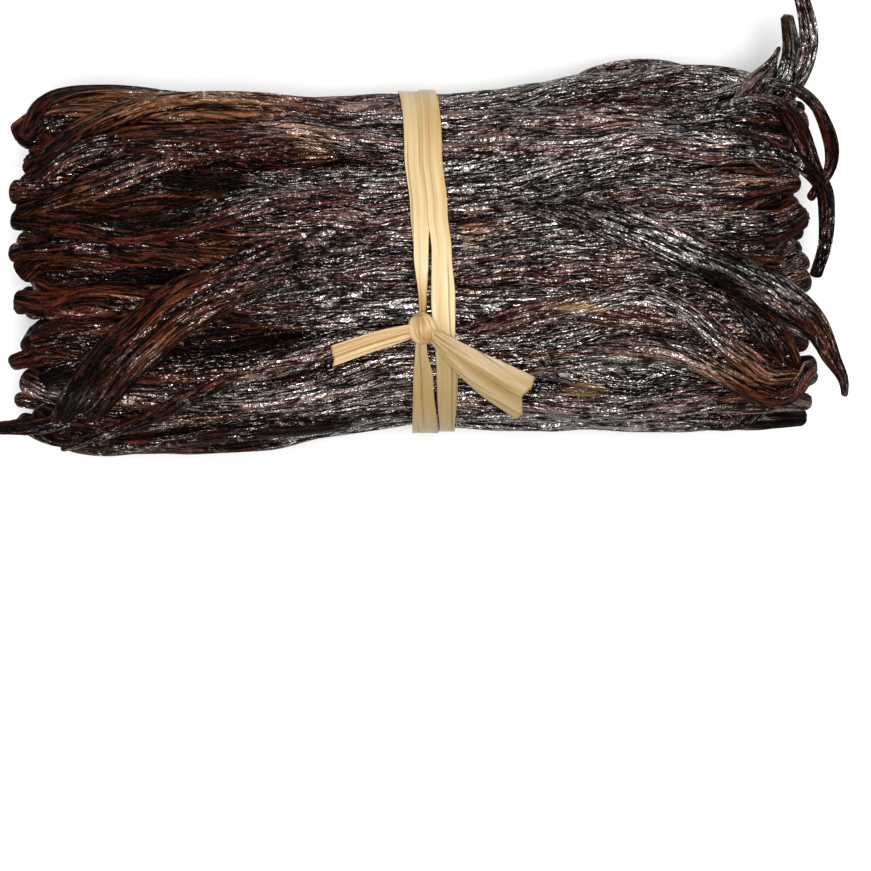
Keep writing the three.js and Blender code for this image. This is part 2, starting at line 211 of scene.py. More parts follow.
def uneven(lengths, cell, draw):
    """A smooth random value from -1 to 1 along a pod, which changes over about one cell of its length."""
    values = 2 * draw.random(int(lengths[-1] / cell) + 3) - 1
    at = lengths / cell
    k = at.astype(int)
    return lerp(values[k], values[k + 1], smooth(at - k))


def sway(lengths, amount, cell, draw):
    return amount * uneven(lengths, cell, draw)


def creases(turns, lengths, around, cell, draw):
    """Depths from 0 to 1 of sharp furrows between rounded ridges. They run along the pod and wander."""
    columns = np.stack([uneven(lengths + cell * draw.random(), cell, draw) for _ in range(around)], -1)
    at = np.mod(turns / (2 * np.pi), 1.0) * around
    k = at.astype(int) % around
    value = lerp(columns[:, k], columns[:, (k + 1) % around], smooth(at - np.floor(at)))
    return (1 - np.abs(value)) ** 2


FLUTES, FLUTE_LENGTH, FLUTE_DEPTH = 9, 38.0, 0.8
WRINKLES, WRINKLE_LENGTH, WRINKLE_DEPTH = 24, 13.0, 0.42
SKIN_AROUND, SKIN_STEP = 72, 1.3
CAP_ROWS, CAP_REACH, BUNCHING = 5, 0.8, 0.42

# How much a pod varies, and over what length: in width, in thickness, to the side and in its roll.
WIDTH_SWELL, THICKNESS_SWELL, SIDE_SWAY, ROLL_SWAY = (0.13, 12.0), (0.16, 9.0), (0.55, 9.0), (0.35, 45.0)
STANDS_FROM, STANDS_OVER = 0.5, 0.3
POD_SHIFT, SEED_SHIFT, INSIDE_BOX = 211.0, 37.0, 1e-5

# Where the top of the bundle is a dry red brown or a pale tan: [x, y, reach along, reach across, how much].
# The skin has less oil on it in the brown patches, and towards both ends.
BROWN_PATCHES = [
    (-44, 30, 34, 5, 1.0), (-62, 0, 26, 40, 0.16), (-50, -14, 22, 9, 0.25), (-60, 12, 16, 4, 0.4),
    (-22, 21, 7, 3, 0.9), (10, 5, 5, 4, 1.0), (34, 26, 12, 2.5, 0.5), (60, 16, 14, 6, 0.6),
    (63, -22, 12, 5, 0.9), (30, -26, 8, 3, 0.8), (52, 5, 10, 3, 0.5), (-30, 4, 10, 3, 0.7),
]
TAN_PATCHES = [
    # The first tan patch is a small golden spot on a pod: a dry patch with a painted highlight in its pale
    # colour.
    (31.5, -25.6, 5, 1.5, 1.0), (31, -10, 8, 1.0, 0.6), (-33.5, -23.2, 4, 0.8, 0.6),
    (-14, -30.6, 9, 1, 0.4), (-40, 31, 30, 4, 0.42), (34, -14, 18, 12, 0.12),
    (70.6, 44.5, 2, 7, 0.5), (67.6, 38.5, 2.6, 3, 0.36),
]
OILY_FROM, OILY_OVER = -44.0, 36.0
OILY_TO, DRYER_OVER, DRYER_END = 38.0, 30.0, 0.6


def in_patches(points, patches):
    """How far each point lies in some patch, 0 to 1. The hidden side has the same patches mirrored."""
    total = np.zeros(len(points))
    for x, y, along, across, strength in patches:
        away = np.where(points[:, 2] > AXIS_HEIGHT, y, -y)
        distance = ((points[:, 0] - x) / along) ** 2 + ((points[:, 1] - away) / across) ** 2
        total += strength * np.exp(-distance)
    return np.clip(total, 0, 1)


def pod_shape(points, size, draw, around, step):
    """The places, quads, triangles, unbent places and furrow depths of one wrinkled pod along a line."""
    line = fine_line(points, step)
    lengths = lengths_along(line)
    total = lengths[-1]
    taper = min(size["taper"], total / 3)
    full = lerp(size["tip"], 1.0, smooth(np.minimum(lengths, total - lengths) / taper))
    half_width = size["width"] / 2 * full * (1 + sway(lengths, *WIDTH_SWELL, draw))
    half_thickness = size["thickness"] / 2 * full * (1 + sway(lengths, *THICKNESS_SWELL, draw))
    along = unit(np.gradient(line, axis=0))
    out = outward(line)

    # Where a pod stands away from the bundle, its flat side turns to face up.
    stands = smooth((np.abs(np.sum(out * along, -1, keepdims=True)) - STANDS_FROM) / STANDS_OVER)
    out = lerp(out, np.array([0.0, 0.0, 1.0]), stands)
    out = square_to(along, out)
    across = np.cross(along, out)
    roll = (size["roll"] + sway(lengths, *ROLL_SWAY, draw))[:, None]
    out, across = rolled(out, across, roll)
    line = line + sway(lengths, *SIDE_SWAY, draw)[:, None] * across

    # The rows bunch up on the side that faces out, and a rounded cap of shrinking rows closes each tip.
    ring = np.linspace(-np.pi, np.pi, around, endpoint=False)
    turns = np.pi / 2 + ring - BUNCHING * np.sin(ring)
    cap = np.linspace(0, 1, CAP_ROWS)[1:-1]
    rows = [[0] * cap.size, np.arange(lengths.size), [lengths.size - 1] * cap.size]
    rows = np.concatenate(rows).astype(int)
    swell = np.concatenate([np.sin(cap * np.pi / 2), np.ones(lengths.size), np.cos(cap * np.pi / 2)])
    beyond = np.concatenate([-np.cos(cap * np.pi / 2), np.zeros(lengths.size), np.sin(cap * np.pi / 2)])
    reach = CAP_REACH * beyond * half_thickness[rows]
    centre = line[rows] + reach[:, None] * along[rows]
    at = np.clip(lengths[rows] + reach - reach[0], 0, None)

    furrow = creases(turns, at, FLUTES, FLUTE_LENGTH, draw) * FLUTE_DEPTH
    wrinkle = creases(turns, at, WRINKLES, WRINKLE_LENGTH, draw) * WRINKLE_DEPTH
    depth = (furrow + wrinkle) * swell[:, None] * (size["width"] / POD_WIDTH)
    radii = [(h[rows] * swell)[:, None] - depth for h in (half_width, half_thickness)]
    places = (
        centre[:, None]
        + (radii[0] * np.cos(turns))[..., None] * across[rows][:, None]
        + (radii[1] * np.sin(turns))[..., None] * out[rows][:, None]
    )
    girth = size["width"] / 2
    straight = np.broadcast_arrays(girth * np.cos(turns), girth * np.sin(turns), at[:, None])
    unbent = np.stack(straight, -1)
    ends = [
        line[0] - CAP_REACH * half_thickness[0] * along[0],
        line[-1] + CAP_REACH * half_thickness[-1] * along[-1],
    ]
    count = rows.size
    corner = np.arange(count - 1)[:, None] * around + np.arange(around)
    beside = np.arange(count - 1)[:, None] * around + (np.arange(around) + 1) % around
    quads = np.stack([corner, beside, beside + around, corner + around], -1).reshape(-1, 4)
    first, last = count * around, count * around + 1
    near, next_one = np.arange(around), (np.arange(around) + 1) % around
    top = (count - 1) * around
    start_cap = np.stack([near * 0 + first, next_one, near], -1)
    end_cap = np.stack([near * 0 + last, top + near, top + next_one], -1)
    triangles = np.concatenate([start_cap, end_cap])
    places = np.vstack([places.reshape(-1, 3), ends])
    unbent = np.vstack([unbent.reshape(-1, 3), [[0, 0, 0], [0, 0, at[-1]]]])
    relief = (furrow / FLUTE_DEPTH * 0.5 + wrinkle / WRINKLE_DEPTH * 0.5).ravel()
    relief = np.concatenate([relief, [0, 0]])
    return places, quads, triangles, unbent, relief


def place_points(mesh, places):
    """Moves the points of a mesh to places counted in millimetres from the axis of the bundle."""
    mesh.vertices.foreach_set("co", ((places - MIDDLE) * MM).astype(np.float32).ravel())
    mesh.update()


def mark(mesh, unbent, surface):
    """Keeps the unbent place of each point of a mesh, and what the surface is like there."""
    vectors = mesh.attributes.new("unbent", "FLOAT_VECTOR", "POINT")
    vectors.data.foreach_set("vector", (unbent * MM).ravel())
    for what, values in surface.items():
        mesh.attributes.new(what, "FLOAT", "POINT").data.foreach_set("value", values)


def pods_object(name, pods, material, around, step, seed):
    """One mesh of many pods, which also carries the unbent place of each point and its kind of skin."""
    draw = np.random.default_rng(seed)
    shapes = []
    start = 0
    for number, (points, size) in enumerate(pods):
        places, quads, triangles, unbent, relief = pod_shape(points, size, draw, around, step)
        unbent[:, 2] += POD_SHIFT * (number + 1) + SEED_SHIFT * seed
        tone = np.full(len(places), draw.random())
        shapes.append((places, quads + start, triangles + start, unbent, relief, tone))
        start += len(places)
    places, quads, triangles, unbent, relief, tone = (np.concatenate(part) for part in zip(*shapes))
    oil = smooth((places[:, 0] - OILY_FROM) / OILY_OVER)
    oil = oil - DRYER_END * smooth((places[:, 0] - OILY_TO) / DRYER_OVER)
    surface = {
        "furrow": relief,
        "tone": tone,
        "brown": in_patches(places, BROWN_PATCHES),
        "tan": in_patches(places, TAN_PATCHES),
        "oil": oil,
    }
    lowest, highest = np.array(cad_bounds)
    places = np.clip((places - MIDDLE) * MM, lowest + INSIDE_BOX, highest - INSIDE_BOX)
    corners = np.concatenate([quads.ravel(), triangles.ravel()])
    starts = np.concatenate([np.arange(len(quads)) * 4, len(quads) * 4 + np.arange(len(triangles)) * 3])
    mesh = bpy.data.meshes.new(name)
    mesh.vertices.add(len(places))
    mesh.vertices.foreach_set("co", places.astype(np.float32).ravel())
    mesh.loops.add(len(corners))
    mesh.loops.foreach_set("vertex_index", corners.astype(np.int32))
    mesh.polygons.add(len(starts))
    mesh.polygons.foreach_set("loop_start", starts.astype(np.int32))
    mesh.update(calc_edges=True)
    mesh.validate()
    mesh.shade_smooth()
    mark(mesh, unbent, surface)
    mesh.materials.append(material)
    piece = bpy.data.objects.new(name, mesh)
    bpy.context.collection.objects.link(piece)
    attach(piece, "root")
    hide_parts("pods")


class Socket:
    """A value, vector or colour in a material. Arithmetic on it adds the nodes that work it out."""

    def __init__(self, finish, socket):
        self.finish = finish
        self.socket = socket

    def joined(self, operation, *values):
        kind = "ShaderNodeVectorMath" if self.socket.type == "VECTOR" else "ShaderNodeMath"
        return self.finish.node(kind, {"operation": operation}, dict(enumerate(values)))

    def __add__(self, other):
        return self.joined("ADD", self, other)

    __radd__ = __add__

    def __sub__(self, other):
        return self.joined("SUBTRACT", self, other)

    def __rsub__(self, other):
        return self.joined("SUBTRACT", other, self)

    def __mul__(self, other):
        return self.joined("MULTIPLY", self, other)

    __rmul__ = __mul__

    def __abs__(self):
        return self.joined("ABSOLUTE", self)


class Finish:
    """A material or the light of a room, and the one way in which its nodes are added."""

    def __init__(self, name, kind="materials"):
        self.made_of = getattr(bpy.data, kind).new(name)
        self.made_of.use_nodes = True
        self.tree = self.made_of.node_tree
        self.tree.nodes.clear()

    def node(self, kind, settings, sockets, output=0):
        added = self.tree.nodes.new(kind)
        for name, value in settings.items():
            setattr(added, name, value)
        for key, value in sockets.items():
            socket = added.inputs[key] if isinstance(key, int) else self.input(added, key)
            if isinstance(value, Socket):
                self.tree.links.new(value.socket, socket)
            else:
                socket.default_value = value
        return None if output is None else Socket(self, added.outputs[output])

    def input(self, added, key):
        return next(s for s in added.inputs if s.identifier == key or (s.name == key and s.enabled))

    def attribute(self, name, output):
        return self.node("ShaderNodeAttribute", {"attribute_name": name}, {}, output)

    def places(self):
        return self.node("ShaderNodeTexCoord", {}, {}, "Object")

    def noise(self, vector, scale, detail, roughness=0.5):
        sockets = {"Vector": vector, "Scale": scale, "Detail": detail, "Roughness": roughness}
        return self.node("ShaderNodeTexNoise", {}, sockets, "Fac")

    def streaks(self, places, along, scale, detail, roughness):
        """A noise whose spots are drawn out along a pod or a strip, the more so the smaller along is."""
        return self.noise(places * (1.0, 1.0, along), scale, detail, roughness)

    def step(self, value, low, high):
        """0 below low and 1 above high, with a smooth change between."""
        sockets = {"Value": value, "From Min": low, "From Max": high}
        return self.node("ShaderNodeMapRange", {"interpolation_type": "SMOOTHSTEP"}, sockets, "Result")

    def mix(self, first, second, share):
        sockets = {"Factor_Float": share, "A_Color": first, "B_Color": second}
        return self.node("ShaderNodeMix", {"data_type": "RGBA"}, sockets, 2)

    def bump(self, height, distance):
        return self.node("ShaderNodeBump", {}, {"Height": height, "Distance": distance}, "Normal")

    def skin(self, **sockets):
        named = {name.replace("_", " "): value for name, value in sockets.items()}
        return self.node("ShaderNodeBsdfPrincipled", {}, named, "BSDF")

    def made(self, shader, output="ShaderNodeOutputMaterial"):
        self.node(output, {}, {"Surface": shader}, None)
        return self.made_of


# The colours of the skin and of the fibres in it, the painted shade in the depth of a crease, and the tint of
# the oil.
SKIN_BLACK, SKIN_BROWN = (0.0042, 0.0011, 0.0006, 1), (0.062, 0.0122, 0.0042, 1)
FIBRE_ORANGE, SKIN_TAN = (0.26, 0.11, 0.048, 1), (0.34, 0.19, 0.08, 1)
CREASE_SHADE_BLACK, OIL_TINT = (0.0008, 0.0002, 0.0001, 1), (1, 0.92, 0.86, 1)
DRY_ROUGHNESS, DRY_IOR, OILY_ROUGHNESS, OILY_IOR, RELIEF = 0.5, 1.12, 0.25, 3.4, 0.001

# The patterns in the skin: [how much they are drawn out along the pod, scale, detail, roughness]. The zones
# are large areas with more or less oil, which run across the pods.
WRINKLE_PATTERN, GRAIN_PATTERN = (0.14, 920.0, 2.0, 0.6), (0.52, 1900.0, 1.0, 0.5)
CLOUD_PATTERN, FIBRE_PATTERN = (0.3, 90.0, 2.0, 0.5), (0.03, 1300.0, 2.0, 0.5)
CLUSTER_PATTERN, SPECK_PATTERN = (0.4, 170.0, 1.0, 0.5), (0.6, 1500.0, 1.0, 0.5)
ZONE_STRETCH, ZONE_SHIFT, ZONE_SCALE = (0.4, 1.0, 1.0), (0.7, 0.7, 0.2), 62.0


def pod_leather():
    """Oily, nearly black pod skin with red-brown patches, and fine wrinkles that catch the light."""
    f = Finish("pod leather")
    unbent = f.attribute("unbent", "Vector")
    furrow = f.attribute("furrow", "Fac")
    tone = f.attribute("tone", "Fac")
    patch = f.attribute("brown", "Fac")
    tan = f.attribute("tan", "Fac")
    oil = f.attribute("oil", "Fac")

    # Fine wrinkles are rounded between sharp creases, and broken across by still finer ones.
    wrinkle = f.step(abs(f.streaks(unbent, *WRINKLE_PATTERN) * 2 - 1), 0.02, 0.2)
    grain = f.step(f.streaks(unbent, *GRAIN_PATTERN), 0.3, 0.7)
    cloud = f.streaks(unbent, *CLOUD_PATTERN) + tone * 0.24 - 0.12
    zone = f.noise(f.places() * ZONE_STRETCH + ZONE_SHIFT, ZONE_SCALE, 1.0)
    gloss = f.step(oil * 1.14 - 0.14 + (cloud - 0.5) * 1.6 + (zone - 0.5) * 2.8 - patch * 0.4, 0.0, 0.75)
    height = wrinkle * 0.2 + grain * (0.36 - gloss * 0.17)

    # Dry fibres run along the skin. They are orange brown in the patches and dark red brown elsewhere.
    fibre = f.streaks(unbent, *FIBRE_PATTERN)
    brown = f.step(cloud + patch * 0.35 + (fibre - 0.5) * 1.2 - (zone - 0.5) * 0.5, 0.4, 0.66)
    orange = f.step(patch * 0.42 + cloud * 0.4 + fibre * 0.9, 0.86, 1.06)
    colour = f.mix(SKIN_BLACK, SKIN_BROWN, brown)
    colour = f.mix(colour, FIBRE_ORANGE, orange * 0.8)
    colour = f.mix(colour, SKIN_TAN, f.step(tan + (fibre - 0.5) * 0.8, 0.35, 0.65))
    # Painted shade darkens the furrows and the creases between the wrinkles, less so in the tan patches.
    crease_shade = (f.step(furrow, 0.15, 0.8) * 0.65 + (1 - wrinkle) * 0.75) * (1 - tan * 0.6)
    colour = f.mix(colour, CREASE_SHADE_BLACK, crease_shade)

    # The dry skin reflects little, and the film of oil on its ridges a lot. Where the skin is dry, oil is
    # left in clusters of small specks.
    bumps = f.bump(height, RELIEF)
    dry = f.skin(Base_Color=colour, Roughness=DRY_ROUGHNESS, Normal=bumps, IOR=DRY_IOR)
    sheen = OILY_ROUGHNESS - (grain - 0.5) * 0.1
    oily = f.skin(Base_Color=colour, Roughness=sheen, Normal=bumps, IOR=OILY_IOR, Specular_Tint=OIL_TINT)
    clusters = f.step(f.streaks(unbent, *CLUSTER_PATTERN), 0.5, 0.6)
    specks = f.step(f.streaks(unbent, *SPECK_PATTERN), 0.48, 0.6) * clusters
    film = gloss * (1 - brown * 0.4) + (1 - gloss) * (specks + 0.02)
    film = film * wrinkle * (0.46 + grain * 0.54)
    return f.made(f.node("ShaderNodeMixShader", {}, {0: film, 1: dry, 2: oily}))


leather = pod_leather()
random = random_numbers(SKIN_SEED)
skin = [skin_pod(place, random) for place in range(SKIN_PODS)]
for number, group in enumerate(np.array_split(np.arange(SKIN_PODS), 4), start=1):
    pods_object(f"skin_pods_{number}", [skin[k] for k in group], leather, SKIN_AROUND, SKIN_STEP, number)


# Under the skin lie two more layers of cured pods, the first of them in the grooves between the outer ones.
# They fill the gaps where the skin pods part.
UNDER_AROUND, UNDER_STEP, DEEP_AROUND, DEEP_STEP = 34, 2.5, 16, 2.6
UNDER_DEPTH, DEEP_DEPTH, UNDER_SEED = 4.0, 7.6, 7

random = random_numbers(UNDER_SEED)
under = [skin_pod(place, random, 0.5, UNDER_DEPTH) for place in range(SKIN_PODS)]
deep = [skin_pod(place, random, 0.0, DEEP_DEPTH) for place in range(SKIN_PODS)]
pods_object("under_pods_1", under[: SKIN_PODS // 2], leather, UNDER_AROUND, UNDER_STEP, seed=5)
pods_object("under_pods_2", under[SKIN_PODS // 2 :], leather, UNDER_AROUND, UNDER_STEP, seed=10)
pods_object("deep_pods", deep, leather, DEEP_AROUND, DEEP_STEP, seed=11)


# The pods inside the bundle are cured pods like those in its skin. Only their ends show, which stand out
# unevenly from both ends of the bundle and bend aside.
INNER_PODS, INNER_AREA, INNER_WIDTH, INNER_TIP, INNER_BEND, INNER_ROOT = 18, 0.84, 6.3, 0.8, 1.1, 3.0
CORE_LEFT, CORE_RIGHT = -71.0, 66.0
GOLDEN_ANGLE = math.pi * (3 - math.sqrt(5))
EXTRA_PODS, EXTRA_SHORTER, LONG_ROOT = 26, 3.5, 16.0
INNER_AROUND, INNER_STEP = 34, 1.2
CHOICES, SIDEWAYS_WEIGHT, ENDS_SEED = 600, [1.4, 1.0], 31


def inner_end(spot, limit, core_end, random, shorter=0.0):
    """The line of a pod's end at one spot of the end of the bundle, and its sizes."""
    half_width, half_height, middle, height = outline(np.float64(limit))
    y, z = middle + half_width * spot[0], height + half_height * spot[1]
    side = math.copysign(1.0, core_end)
    points = np.array([[core_end - side * root, y, z] for root in (LONG_ROOT, INNER_ROOT, 0.0)])
    turn = 2 * math.pi * next(random)
    reach = abs(limit - core_end) - shorter + END_SPREAD * (2 * next(random) - 1)
    side = np.array([0.0, math.cos(turn), math.sin(turn)])
    points = curled(points, side, reach, INNER_BEND * next(random))
    roll = math.pi * next(random)
    size = dict(width=INNER_WIDTH, thickness=POD_THICKNESS, tip=INNER_TIP, taper=POD_TAPER, roll=roll)
    return points, size


def inner_spots(count):
    """Spots spread evenly over the end of the bundle, as shares of its half width and half height."""
    at = np.arange(count)
    radius = INNER_AREA * np.sqrt((at + 0.5) / count)
    return np.stack([radius * np.cos(at * GOLDEN_ANGLE), radius * np.sin(at * GOLDEN_ANGLE)], -1)


# The extra ends are shorter, and each lies in the widest gap that is left between the others.
spots = inner_spots(INNER_PODS)
choices = inner_spots(CHOICES)
for k in range(EXTRA_PODS):
    gaps = np.min(np.linalg.norm((choices[:, None] - spots) * SIDEWAYS_WEIGHT, axis=-1), axis=1)
    spots = np.vstack([spots, choices[np.argmax(gaps)]])

random = random_numbers(ENDS_SEED)
shorter = [0.0] * INNER_PODS + [EXTRA_SHORTER] * EXTRA_PODS
for name, limit, core_end, seed in [
    ("pod_ends_left", END_LEFT, CORE_LEFT, 6),
    ("pod_ends_right", END_RIGHT, CORE_RIGHT, 7),
]:
    pod_ends = [inner_end(spot, limit, core_end, random, less) for spot, less in zip(spots, shorter)]
    pods_object(name, pod_ends, leather, INNER_AROUND, INNER_STEP, seed)


# Loose pods lie slantwise over the skin pods, and a few thin ones have sprung out of the bundle. Each has
# [width, share of it at the tips, path, length over which it narrows]. A path goes through places of [x, y,
# height above the skin], and beside the bundle the height is counted from its axis.
LOOSE_THICKNESS, LOOSE_STEP = 0.74, 6.0
LOOSE_LEFT = [
    (5.4, POD_TIP, [
        (-20, 31, -3), (-45, 32.2, -0.6), (-69, 31.8, 0.6), (-76, 28.6, 0), (-77.6, 24.4, -0.5),
    ]),
    (6.6, POD_TIP, [
        (-8, 30.6, -3.4), (-28, 31, -0.6), (-50, 29.4, 0.9), (-66, 24.6, 0.8), (-76.8, 17.6, -1),
    ]),
    (7.4, POD_TIP, [
        (-24, 25.2, -3), (-40, 22.4, 0.2), (-58, 22, 0.6), (-69, 19.6, 0.4), (-77, 14.4, -1.4),
    ]),
    (6.4, POD_TIP, [(-38, 21.5, -3), (-50, 19.2, -0.2), (-64, 14, 0.6), (-78, 9.2, -0.8)]),
    (6.8, POD_TIP, [(-14, 13.4, -3), (-30, 10.8, 0), (-47, 6, 0.8), (-62, 5.2, 0.4), (-79, 7.6, -1.2)]),
    (6.2, POD_TIP, [(-22, -0.4, -3), (-40, -0.6, 0.2), (-58, 1.2, 0.6), (-79.5, 1, -1.6)]),
    (7, POD_TIP, [
        (-7, 4, -3), (-26, 1, 0.2), (-45, -6.2, 1.2), (-58, -15, 1.1), (-66, -24, 0.6), (-71, -31, -0.6),
    ]),
    (6.6, POD_TIP, [
        (-9, -4.4, -3.2), (-28, -5.4, -0.4), (-43, -10.2, 0.8), (-55, -19.4, 1), (-65, -30.4, -0.4),
    ]),
    (3.6, POD_TIP, [(-21, -21, -3), (-33, -23, 0), (-48, -27.8, 0.5), (-61, -33.6, 0.6), (-71, -37, 0)]),
    (4.4, POD_TIP, [(-66, -31.5, -2.4), (-74, -33, -0.6), (-83, -33.4, -0.6)]),
]
LOOSE_RIGHT = [
    (7.8, 0.32, [
        (9, 10.3, -3.2), (27, 9, 0.2), (45, 3.4, 1.5), (61, -3.8, 1.7), (74, -12, 1.8), (80.6, -21, 0.6),
        (82, -27.6, -2),
    ], 30.0),
    (3.2, POD_TIP, [(46, -4.6, -3), (57, -8, 0.1), (65, -15, 0.4), (69, -20.4, -1)]),
    (5.6, POD_TIP, [
        (8, -15, -3.2), (22, -11.4, 0.1), (39, -7.8, 0.3), (50, -10, 0.2), (60, -17.6, 0.7),
        (67.5, -23, 0), (72.6, -23.6, -2),
    ]),
    (2.8, POD_TIP, [
        (51, -5.4, -3), (61, -8.8, 0.3), (68.4, -14, 0.5), (71.6, -19, 0.2), (72.6, -22.6, -2),
    ]),
    (6.2, 0.8, [(60, -27, -7), (68, -25.4, -5), (75.4, -22.8, -6)]),
    (6.2, 0.8, [(60, -31, -7), (68, -29.8, -5), (76, -27.8, -7)]),
    (5.8, POD_TIP, [
        (32, -17.6, -3), (48, -18.6, 0.3), (60, -23.2, 0.8), (68.4, -27.4, 0.4), (74.6, -21.6, -1),
    ]),
    (3.4, POD_TIP, [
        (54, 33.6, -3), (66, 34.4, 0), (72, 33.3, 0.3), (76.2, 30.2, 0.2), (78.2, 25.4, -0.4),
        (78.7, 20.5, -1), (78, 16.4, -2.5), (75.5, 12.6, -5),
    ]),
    (3.6, POD_TIP, [
        (56, 21, -3), (64, 20.6, 0), (70, 19.8, 0.2), (75, 17.4, -1.2), (77.6, 13.6, -4),
        (78.2, 9, -6.4), (78, 2.5, -7.8), (76.8, -3.4, -8.4),
    ]),
    (4.6, POD_TIP, [
        (56, 31.5, -4), (65, 30.8, -0.4), (70.2, 28.8, 0.2), (72.8, 24.8, 0), (75.2, 20, -1),
        (77, 15.5, -3),
    ]),
    (4.4, 0.8, [
        (66, 30, -5), (72, 34.4, -1), (74.8, 39, 11), (75.5, 44, 12), (75.3, 48, 13), (74.2, 52, 14),
    ]),
    (8, 0.2, [(50, 24, -9), (59, 28, -6), (65.2, 33.4, -1.5), (67.6, 38, 10), (69.2, 41.6, 11)]),
    (3.2, 0.9, [(54, 34.6, -7), (58, 36, -3.4), (61.4, 36.8, -1.6)]),
    (3.6, 0.95, [(67, 31, -5), (71.8, 38, 12), (70.6, 46.4, 20)]),
    (6.6, POD_TIP, [
        (12, 31, -3), (26, 34.6, -1.6), (40, 36.2, -0.6), (54, 36.6, -0.6), (64, 35.8, -1.6),
        (71, 33, -3),
    ]),
    (6.4, POD_TIP, [(18, 33.4, -10), (34, 37, -6), (50, 38, -4), (62, 37, -5), (72.5, 33.8, -7)]),
    (6.4, POD_TIP, [
        (2, -3.9, -5.5), (14, -3.7, -4.2), (26, -3.1, -3.6), (37, -2.6, -4.2), (50, -2.4, -5.5),
    ]),
]


def on_top(place):
    """The point at x and y, a height above the top of the bundle or, beside the bundle, above its axis."""
    x, y, height = place
    half_width, half_height, middle, axis = outline(np.float64(x))
    across = abs(y - middle) / half_width
    if across >= 1:
        return np.array([x, y, axis + height])
    point = np.array([x, y, axis + half_height * (1 - across**SQUARENESS) ** (1 / SQUARENESS)])
    return point + outward(point) * height


def loose_pod(width, tip, path, taper=POD_TAPER):
    points = fine_line(np.array([on_top(place) for place in path]), LOOSE_STEP)
    return points, dict(width=width, thickness=width * LOOSE_THICKNESS, tip=tip, taper=taper, roll=0.0)


loose_left = [loose_pod(*pod) for pod in LOOSE_LEFT]
loose_right = [loose_pod(*pod) for pod in LOOSE_RIGHT]
pods_object("loose_pods_left", loose_left, leather, SKIN_AROUND, SKIN_STEP, seed=8)
pods_object("loose_pods_right", loose_right, leather, SKIN_AROUND, SKIN_STEP, seed=9)


# The middle of the bundle is imported solid with pods that nobody sees, pressed together by the raffia. It is
# one mass with blunt ends, coloured darker than the pods' own skin as painted shade where it shows between
# them.
PACK_INSET, PACK_LEFT, PACK_RIGHT, PACK_BLUNTNESS = 9.5, -62.0, 57.0, 1.6
PACK_AROUND, PACK_ROWS = 64, 48
PACK_SHADE_BLACK, PACK_SHADE_BROWN = (0.001, 0.0006, 0.0005, 1), (0.008, 0.0035, 0.002, 1)
PACK_STRETCH, PACK_SCALE, PACK_DETAIL = (1.0, 12.0, 12.0), 60.0, 3.0
PACK_ROUGHNESS, PACK_RELIEF, PACK_IOR = 0.6, 0.0008, 1.3

bpy.ops.mesh.primitive_uv_sphere_add(segments=PACK_AROUND, ring_count=PACK_ROWS, radius=1.0)
packed = bpy.context.object
packed.name = packed.data.name = "packed_middle"
ball = np.array([tuple(vertex.co) for vertex in packed.data.vertices])
x = lerp(PACK_LEFT, PACK_RIGHT, 0.5 + 0.5 * ball[:, 2])
wide = np.clip(np.hypot(ball[:, 0], ball[:, 1]) * PACK_BLUNTNESS, 0, 1)
rim = on_outline(x, np.arctan2(ball[:, 1], ball[:, 0]), PACK_INSET)
_, _, middle, height = outline(x)
places = np.stack([x, lerp(middle, rim[:, 1], wide), lerp(height, rim[:, 2], wide)], -1)
place_points(packed.data, places)
packed.data.shade_smooth()
bpy.ops.object.mode_set(mode="EDIT")
bpy.ops.mesh.select_all(action="SELECT")
bpy.ops.mesh.normals_make_consistent(inside=False)
bpy.ops.object.mode_set(mode="OBJECT")
packed.select_set(False)


def packed_finish():
    """Nearly black skin, darker than the pods' own as painted shade, with faint lines along the bundle where
    one pod lies against the next.
    """
    f = Finish("packed pods")
    lines = f.noise(f.places() * PACK_STRETCH, PACK_SCALE, PACK_DETAIL)
    colour = f.mix(PACK_SHADE_BLACK, PACK_SHADE_BROWN, f.step(lines, 0.4, 0.7))
    bumps = f.bump(lines, PACK_RELIEF)
    return f.made(f.skin(Base_Color=colour, Roughness=PACK_ROUGHNESS, Normal=bumps, IOR=PACK_IOR))


packed.data.materials.append(packed_finish())
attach(packed, "root")
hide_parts("pods")


# The raffia is one strip of dried palm leaf, ribbed along its length. It goes twice round the waist of the
# bundle and is knotted on top. Its run is given as [degrees gone round from the knot, x, width].
STRIP_RUN = np.array([
    (0, -0.6, 1.1), (10, -0.4, 1.7), (26, -0.7, 2.9), (39, -0.9, 3.7), (59, -1.9, 4.1), (114, -3.1, 4.5),
    (160, -2, 4.2), (204, 1.2, 4.2), (250, 3.8, 4), (312, 4.4, 3.1), (343, 4.4, 4.1), (354, 4, 3.8),
    (370, 3.6, 4.7), (386, 3.3, 3.9), (399, 2.5, 3.9), (419, 1.5, 3.7), (474, 0.3, 3.1), (520, 0.8, 3.6),
    (564, 0.3, 4), (610, 0.2, 4.4), (672, 0.1, 5.2), (703, -0.3, 3.9), (714, -0.7, 2.3), (720, -0.6, 1.1),
])
STRIP_GAP, STRIP_THICKNESS, STRIP_ACROSS, STRIP_DEGREES = 0.45, 0.34, 22, 1.6
KNOT_X, KNOT_Y, KNOT_LIFT = -0.3, -13.5, 1.5
TWIST, TWIST_DEGREES = 0.9, 24.0
# Painted shade darkens both turns towards the front: the y where it begins, the length over which it deepens,
# and its deepest share.
SHADE_FROM, SHADE_OVER, DEEPEST_SHADE = -10.0, 12.0, 0.75
STRIP_SHIFT, CUT_OVER, TURNS_SEED = 40, 5.0, 40

# The two turns: [name, first and last degrees, how far it lies over the other, how brown it is].
TURNS = [("raffia_under_turn", 0, 372, 0.0, 0.14), ("raffia_upper_turn", 353, 720, 0.3, 0.0)]

